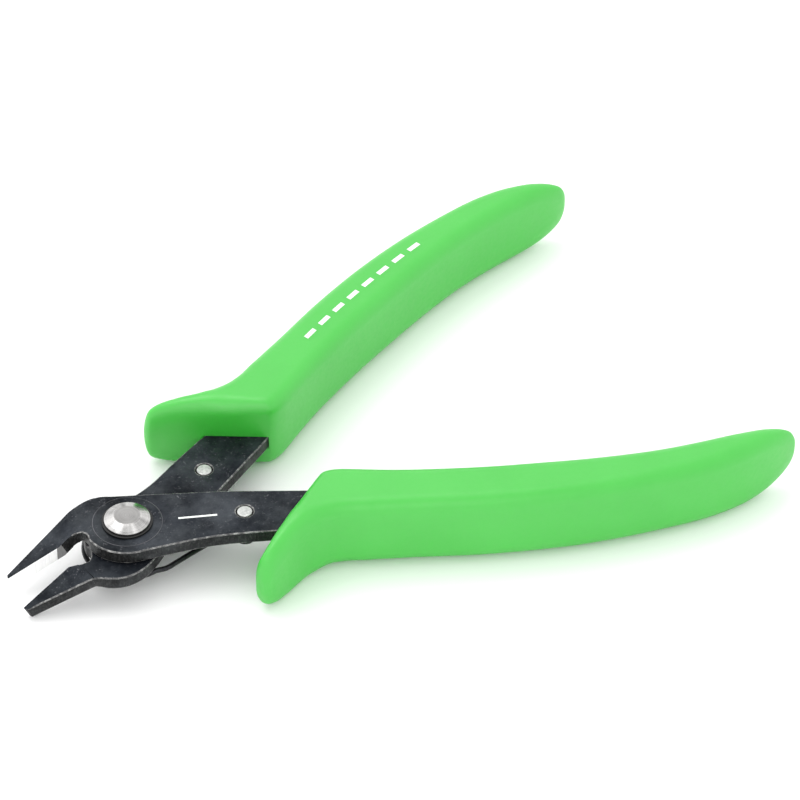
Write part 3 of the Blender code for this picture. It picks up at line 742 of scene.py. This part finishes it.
def cut_slot(piece, lever):
    """The mouth in the front face that the tang goes into."""
    gap = SLOT_GAP * MM
    corners = [lever.spot(x, y + side * SLOT_GAP, 0) for x, y, side in SLOT_PLAN]
    mesh = prism("slot_cutter", corners, lever.top - PLATE - gap, lever.top + gap)
    cutter = bpy.data.objects.new("slot_cutter", mesh)
    bpy.context.scene.collection.objects.link(cutter)
    modifier = piece.modifiers.new("slot", "BOOLEAN")
    modifier.operation = "DIFFERENCE"
    modifier.solver = "EXACT"
    modifier.object = cutter
    bpy.context.view_layer.update()
    evaluated = piece.evaluated_get(bpy.context.evaluated_depsgraph_get())
    result = bpy.data.meshes.new_from_object(evaluated)
    piece.modifiers.clear()
    piece.data = result
    bpy.data.objects.remove(cutter)


def make_grip(lever):
    piece = add_piece(lever.grip + "_look", grip_mesh(lever), [VINYL], lever.body,
                      [lever.grip])
    cut_slot(piece, lever)
    shade(piece, 38)
    return piece


# --- print ----------------------------------------------------------------------------------------
PRINT_THICK = 0.02
CELL_ALONG, CELL_ACROSS = 0.6, 0.2
DASH_COUNT, DASH_START, DASH_STEP, DASH_LENGTH, DASH_HALF = 8, 50.0, 4.2, 2.6, 0.45
LINE_START, LINE_END, LINE_PLACE, LINE_HALF = 8.5, 15.0, 0.3, 0.2
BOW_PEAK, BOW_FALL, BOW_X, BOW_REACH = 3.03, 0.95, 68, 20  # the middle line's arch
ABOVE_ALL = 50 * MM


def surface_tree(piece):
    """What a ray needs to find the piece's surface."""
    work = bmesh.new()
    work.from_mesh(piece.data)
    tree = BVHTree.FromBMesh(work)
    work.free()
    return tree


def add_patch(work, tree, lever, cells):
    """A thin closed patch on the surface below a grid of plan points."""
    thickness = PRINT_THICK * MM
    raised, sunk = [], []
    for row in cells:
        upper_row, lower_row = [], []
        for x, y in row:
            above = lever.spot(x, y, ABOVE_ALL)
            hit, normal, _, _ = tree.ray_cast(above, Vector((0, 0, -1)))
            upper_row.append(work.verts.new(hit + normal * thickness))
            lower_row.append(work.verts.new(hit - normal * thickness))
        raised.append(upper_row)
        sunk.append(lower_row)
    rows, columns = len(raised), len(raised[0])
    for i in range(rows - 1):
        for j in range(columns - 1):
            for grid in (raised, sunk):
                work.faces.new((grid[i][j], grid[i + 1][j], grid[i + 1][j + 1], grid[i][j + 1]))
    rim = [(i, 0) for i in range(rows)] + [(rows - 1, j) for j in range(1, columns)]
    rim += [(i, columns - 1) for i in range(rows - 2, -1, -1)] + [(0, j) for j in range(columns - 2, 0, -1)]
    for (i, j), (k, m) in zip(rim, rim[1:] + rim[:1]):
        work.faces.new((raised[i][j], raised[k][m], sunk[k][m], sunk[i][j]))


def bar(x0, x1, y0, y1, bow):
    """A grid of plan points for a straight bar, its middle line bowed as bow says."""
    columns = max(1, round((x1 - x0) / CELL_ALONG))
    rows = max(1, round((y1 - y0) / CELL_ACROSS))
    grid = []
    for i in range(rows + 1):
        y = y0 + (y1 - y0) * i / rows
        line = []
        for j in range(columns + 1):
            x = x0 + (x1 - x0) * j / columns
            line.append((x, y + bow(x)))
        grid.append(line)
    return grid


def make_print(name, lever, surface, bars, bow):
    """Plain printed bars on a lever's surface."""
    tree = surface_tree(surface)
    work = bmesh.new()
    for x0, x1, y0, y1 in bars:
        add_patch(work, tree, lever, bar(x0, x1, y0, y1, bow))
    bmesh.ops.recalc_face_normals(work, faces=work.faces)
    mesh = fresh_mesh(name, work)
    work.free()
    add_piece(name, mesh, [PRINT], lever.body)


def grip_middle(x):
    """The middle line of the grip's upper face."""
    return BOW_PEAK - BOW_FALL * ((x - BOW_X) / BOW_REACH) ** 2


def dashes():
    """A few equal dashes, evenly spaced, along the middle of the grip."""
    starts = [DASH_START + i * DASH_STEP for i in range(DASH_COUNT)]
    return [(x, x + DASH_LENGTH, -DASH_HALF, DASH_HALF) for x in starts]


def plain_line():
    """One plain line."""
    return [(LINE_START, LINE_END, LINE_PLACE - LINE_HALF, LINE_PLACE + LINE_HALF)]


def level(x):
    """A straight middle line."""
    return 0.0


# --- camera, floor and light ----------------------------------------------------------------------
CAMERA_AIM = PIVOT.xy.to_3d() + Vector((-46.21, 10.58, 24.97)) * MM
CAMERA_DISTANCE = 661.8 * MM
CAMERA_LENS = 178.7
CAMERA_HEADING, CAMERA_ELEVATION, CAMERA_ROLL = radians(29.84), radians(42.48), radians(0.27)
SENSOR_WIDTH = 36
NEAR, FAR = 0.05, 20
FLOOR_HALF = 6.0
FLOOR_DROP = 0.02 * MM           # keeps the floor clear of the grips' lower faces
WORLD_STRENGTH = 1.3
DIM_SIDE = (0.367, 0.640, 0.675)  # the direction of the room's unlit part, behind the camera
DIM_FROM, DIM_TO = 0.76, 0.97    # how near to that direction the light fades, and is faded
DIM_LEVEL = 0.6


def make_camera():
    """A long lens that looks down at the middle of the tool from the upper grip's side."""
    right = Vector((-cos(CAMERA_HEADING), sin(CAMERA_HEADING), 0))
    away = Vector((-sin(CAMERA_HEADING), -cos(CAMERA_HEADING), 0))
    up = Vector((0, 0, 1))
    forward = away * cos(CAMERA_ELEVATION) - up * sin(CAMERA_ELEVATION)
    raised = away * sin(CAMERA_ELEVATION) + up * cos(CAMERA_ELEVATION)
    camera_x = right * cos(CAMERA_ROLL) + raised * sin(CAMERA_ROLL)
    camera_y = raised * cos(CAMERA_ROLL) - right * sin(CAMERA_ROLL)
    data = bpy.data.cameras.new("camera")
    data.lens = CAMERA_LENS
    data.sensor_width = SENSOR_WIDTH
    data.clip_start, data.clip_end = NEAR, FAR
    camera = bpy.data.objects.new("camera", data)
    bpy.context.scene.collection.objects.link(camera)
    basis = Matrix((camera_x, camera_y, -forward)).transposed()
    camera.matrix_world = Matrix.Translation(CAMERA_AIM - forward * CAMERA_DISTANCE) @ basis.to_4x4()
    bpy.context.scene.camera = camera


def make_floor():
    n = Nodes("pale_floor", (0.95, 0.95, 0.95), 0.7, 0.0)
    n.shader.inputs["Specular IOR Level"].default_value = 0.2
    mesh = bpy.data.meshes.new("floor")
    corners = [(x * FLOOR_HALF, y * FLOOR_HALF, 0) for x, y in ((-1, -1), (1, -1), (1, 1), (-1, 1))]
    mesh.from_pydata(corners, [], [(0, 1, 2, 3)])
    mesh.materials.append(n.material)
    floor = bpy.data.objects.new("floor", mesh)
    floor.location.z = -FLOOR_DROP
    bpy.context.scene.collection.objects.link(floor)


def add_light(name, place, size, power):
    """A round lamp that faces the middle of the tool."""
    data = bpy.data.lights.new(name, "AREA")
    data.shape = "DISK"
    data.size = size
    data.energy = power
    light = bpy.data.objects.new(name, data)
    light.location = place
    light.rotation_euler = (-Vector(place)).to_track_quat("-Z", "Y").to_euler()
    bpy.context.scene.collection.objects.link(light)


def make_light():
    """A bright room with one dim side, and two soft lamps."""
    world = bpy.data.worlds.new("studio")
    world.use_nodes = True
    tree = world.node_tree
    background = tree.nodes["Background"]
    background.inputs["Strength"].default_value = WORLD_STRENGTH
    coords = tree.nodes.new("ShaderNodeTexCoord")
    towards = tree.nodes.new("ShaderNodeVectorMath")
    towards.operation = "DOT_PRODUCT"
    towards.inputs[1].default_value = DIM_SIDE
    ramp = tree.nodes.new("ShaderNodeValToRGB")
    lit, dim = ramp.color_ramp.elements
    lit.position = DIM_FROM
    lit.color = (1, 1, 1, 1)
    dim.position = DIM_TO
    dim.color = (DIM_LEVEL, DIM_LEVEL, DIM_LEVEL, 1)
    tree.links.new(coords.outputs["Generated"], towards.inputs[0])
    tree.links.new(towards.outputs["Value"], ramp.inputs["Fac"])
    tree.links.new(ramp.outputs["Color"], background.inputs["Color"])
    bpy.context.scene.world = world
    add_light("key", (0.15, -0.35, 0.9), 0.7, 2.4)
    add_light("fill", (0.45, 0.65, 0.6), 0.8, 2.0)


# --- assembly -------------------------------------------------------------------------------------
blades = {}
for part in LEVERS:
    blades[part.side] = make_blade(part, RINGED_STEEL if part is UPPER else STEEL)
    make_pin(part)
make_rivet()
make_washer()
make_spring()
grips = {part.side: make_grip(part) for part in LEVERS}
make_print("grip_print", LOWER, grips["lower"], dashes(), grip_middle)
make_print("plate_print", UPPER, blades["upper"], plain_line(), level)
make_camera()
make_floor()
make_light()
bpy.context.scene.view_settings.view_transform = "Standard"
